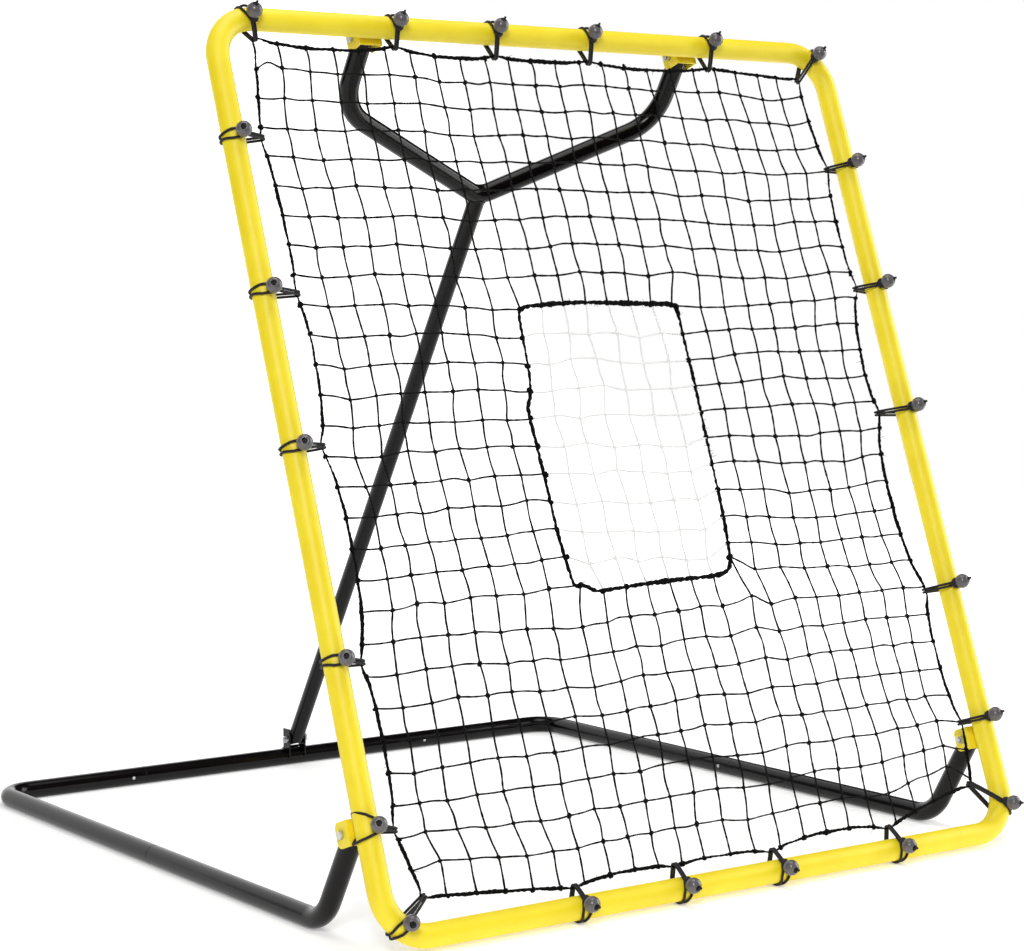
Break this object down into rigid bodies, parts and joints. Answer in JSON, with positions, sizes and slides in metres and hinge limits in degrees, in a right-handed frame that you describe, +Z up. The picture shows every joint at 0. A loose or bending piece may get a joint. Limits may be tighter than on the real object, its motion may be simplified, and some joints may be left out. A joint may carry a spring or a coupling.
{
  "type": "baseball rebound net",
  "caption": "Leaning tube frame with a net hung on ball bungees and a roped strike zone; a Y-shaped strut props it on a U-shaped floor base, and it folds flat",
  "frame": {"origin": "on the floor, at the middle of the footprint's bounding box", "axes": "+Z is up. +Y points from the net to the rear bar, away from the player. +X is to the right of a player who faces the net."},
  "size_m": [1.3558, 1.4553, 1.445],
  "materials": {
    "yellow_powder_coat": "smooth glossy yellow powder coat on round steel tube and folded sheet",
    "black_powder_coat": "smooth glossy black powder coat on round steel tube",
    "zinc_plated_steel": "zinc-plated steel fasteners and snap buttons",
    "black_twine": "dull black knotted twine",
    "white_twine": "dull white knotted twine",
    "black_rope": "soft, slightly hairy black rope",
    "grey_ball_bungee": "satin grey plastic ball on a dark woven elastic cord"
  },
  "bodies": {
    "base": {"base_left_arm": "black_powder_coat", "base_right_arm": "black_powder_coat", "base_left_elbow": "black_powder_coat", "base_right_elbow": "black_powder_coat", "base_rear_bar": "black_powder_coat", "foot_bracket": "black_powder_coat", "foot_bolt": "zinc_plated_steel", "foot_nut": "zinc_plated_steel", "left_arm_snap_button": "zinc_plated_steel", "right_arm_snap_button": "zinc_plated_steel", "left_rear_snap_button": "zinc_plated_steel", "right_rear_snap_button": "zinc_plated_steel"},
    "front": {"front_frame": "yellow_powder_coat", "left_side_bracket": "yellow_powder_coat", "right_side_bracket": "yellow_powder_coat", "left_top_bracket": "yellow_powder_coat", "right_top_bracket": "yellow_powder_coat", "left_side_pivot_bolt": "zinc_plated_steel", "left_side_pivot_nut": "zinc_plated_steel", "right_side_pivot_bolt": "zinc_plated_steel", "right_side_pivot_nut": "zinc_plated_steel", "left_top_pivot_bolt": "zinc_plated_steel", "left_top_pivot_nut": "zinc_plated_steel", "right_top_pivot_bolt": "zinc_plated_steel", "right_top_pivot_nut": "zinc_plated_steel", "rebound_net": "black_twine", "strike_zone_net": "white_twine", "border_rope": "black_rope", "strike_zone_rope": "black_rope", "bungee_top_left": "grey_ball_bungee", "bungee_top_1": "grey_ball_bungee", "bungee_top_2": "grey_ball_bungee", "bungee_top_3": "grey_ball_bungee", "bungee_top_4": "grey_ball_bungee", "bungee_top_right": "grey_ball_bungee", "bungee_left_1": "grey_ball_bungee", "bungee_left_2": "grey_ball_bungee", "bungee_left_3": "grey_ball_bungee", "bungee_left_4": "grey_ball_bungee", "bungee_left_5": "grey_ball_bungee", "bungee_right_1": "grey_ball_bungee", "bungee_right_2": "grey_ball_bungee", "bungee_right_3": "grey_ball_bungee", "bungee_right_4": "grey_ball_bungee", "bungee_right_5": "grey_ball_bungee", "bungee_bottom_left": "grey_ball_bungee", "bungee_bottom_1": "grey_ball_bungee", "bungee_bottom_2": "grey_ball_bungee", "bungee_bottom_3": "grey_ball_bungee", "bungee_bottom_4": "grey_ball_bungee", "bungee_bottom_right": "grey_ball_bungee"},
    "strut": {"strut_fork": "black_powder_coat", "strut_leg": "black_powder_coat"}
  },
  "joints": [
    {"name": "frame_fold", "type": "hinge", "parent": "base", "child": "front", "pos_m": [0, -0.59011, 0.17219], "axis": [-1, 0, 0], "range_deg": [0, 70]},
    {"name": "strut_fold", "type": "hinge", "parent": "front", "child": "strut", "pos_m": [0, -0.13856, 1.40404], "axis": [-1, 0, 0], "range_deg": [0, 51.82]}
  ],
  "couplings": [
    {"joint": "strut_fold", "follows": "frame_fold", "ratio": 0.74015}
  ]
}
